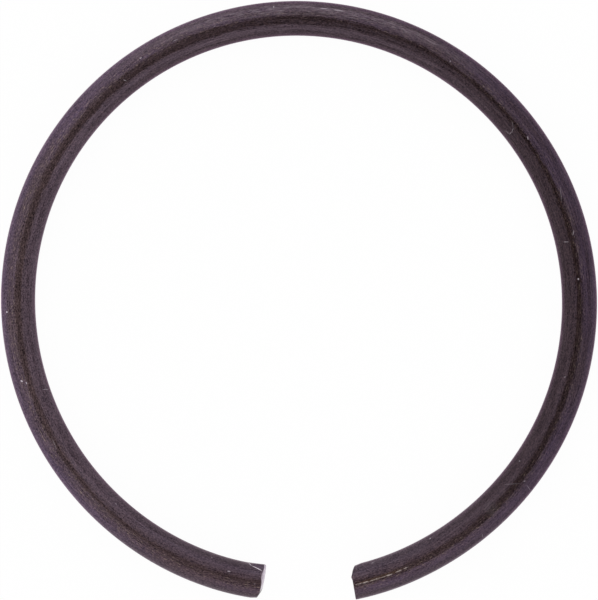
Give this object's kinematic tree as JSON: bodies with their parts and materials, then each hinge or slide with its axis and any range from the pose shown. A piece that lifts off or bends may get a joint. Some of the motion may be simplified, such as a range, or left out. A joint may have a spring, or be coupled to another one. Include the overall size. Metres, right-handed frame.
{
  "type": "round-wire snap ring",
  "caption": "Open snap ring of round spring wire with two sheared ends, which retains a part by sitting in a groove on a shaft or in a bore.",
  "frame": {"origin": "on the ring's axis at the wire's middle plane, which is the middle plane of the groove it sits in", "axes": "+Z along the ring's axis, upwards as it lies flat; -Y through the middle of the gap; seen from +Z the straighter lead end is right of the gap"},
  "size_m": [0.0348, 0.0347, 0.002],
  "materials": {
    "oiled_spring_steel": "black phosphated and oiled spring steel wire, with draw lines and bare steel on the cut faces"
  },
  "bodies": {
    "root": {"snap_ring": "oiled_spring_steel"}
  },
  "joints": []
}
